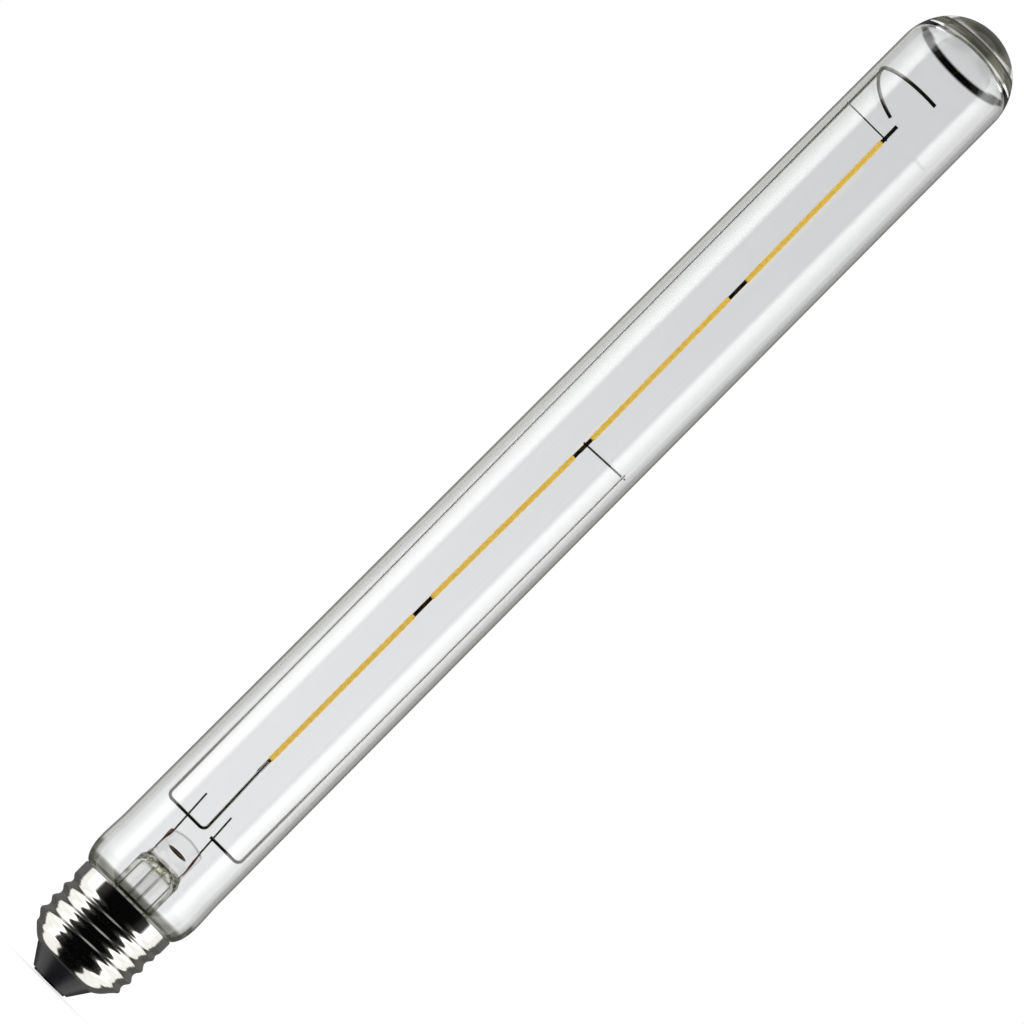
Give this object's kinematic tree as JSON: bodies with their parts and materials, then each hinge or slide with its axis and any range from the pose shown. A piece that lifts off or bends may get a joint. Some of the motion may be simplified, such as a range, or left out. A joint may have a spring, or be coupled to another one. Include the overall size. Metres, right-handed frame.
{
  "type": "tubular light bulb",
  "caption": "Clear tubular filament lamp: round-ended glass tube on a screw cap, with light-emitting filaments in line on a wire frame and a small driver inside the cap.",
  "frame": {"origin": "middle of the flat face of the centre contact, the point that meets the holder's spring", "axes": "+Z along the lamp from the cap to the dome; the wire frame lies in planes parallel to XZ, with the long support wire on the -X side"},
  "size_m": [0.03, 0.03, 0.3103],
  "materials": {
    "bulb_glass": "clear, fire polished",
    "stem_glass": "clear, faintly green",
    "cap_nickel": "bright nickel plating",
    "cap_insulator": "black, smooth",
    "contact": "dull, pressed",
    "cement": "hard, granular",
    "support_wire": "drawn, nickel plated",
    "lead_wire": "drawn nickel",
    "seal_wire": "copper clad, oxidised red",
    "copper_wire": "bare copper",
    "phosphor": "yellow silicone",
    "substrate": "ceramic strip",
    "led_chip": "translucent blue",
    "filament_tab": "darkened metal",
    "board": "green resin",
    "capacitor_can": "drawn can",
    "resistor": "lacquered",
    "chip_package": "moulded black",
    "hookup_wire": "tinned copper"
  },
  "bodies": {
    "root": {"glass_envelope": "bulb_glass", "stem_glass": "stem_glass", "exhaust_tube": "stem_glass", "cap_shell": "cap_nickel", "cap_insulator": "cap_insulator", "centre_contact": "contact", "capping_cement": "cement", "long_support_wire": "support_wire", "short_support_wire": "support_wire", "middle_cross_wire": "support_wire", "top_cross_wire": "support_wire", "near_centring_arm": "support_wire", "far_centring_arm": "support_wire", "inner_lead_a": "lead_wire", "inner_lead_b": "lead_wire", "seal_wire_a": "seal_wire", "seal_wire_b": "seal_wire", "outer_lead_a": "copper_wire", "outer_lead_b": "copper_wire", "driver_board": "board", "smoothing_capacitor": "capacitor_can", "fuse_resistor": "resistor", "rectifier": "chip_package", "driver_chip": "chip_package", "phase_wire": "hookup_wire", "neutral_wire": "hookup_wire", "phosphor_1": "phosphor", "substrate_1": "substrate", "led_chips_1": "led_chip", "lower_tab_1": "filament_tab", "upper_tab_1": "filament_tab", "phosphor_2": "phosphor", "substrate_2": "substrate", "led_chips_2": "led_chip", "lower_tab_2": "filament_tab", "upper_tab_2": "filament_tab", "phosphor_3": "phosphor", "substrate_3": "substrate", "led_chips_3": "led_chip", "lower_tab_3": "filament_tab", "upper_tab_3": "filament_tab", "phosphor_4": "phosphor", "substrate_4": "substrate", "led_chips_4": "led_chip", "lower_tab_4": "filament_tab", "upper_tab_4": "filament_tab"}
  },
  "joints": []
}
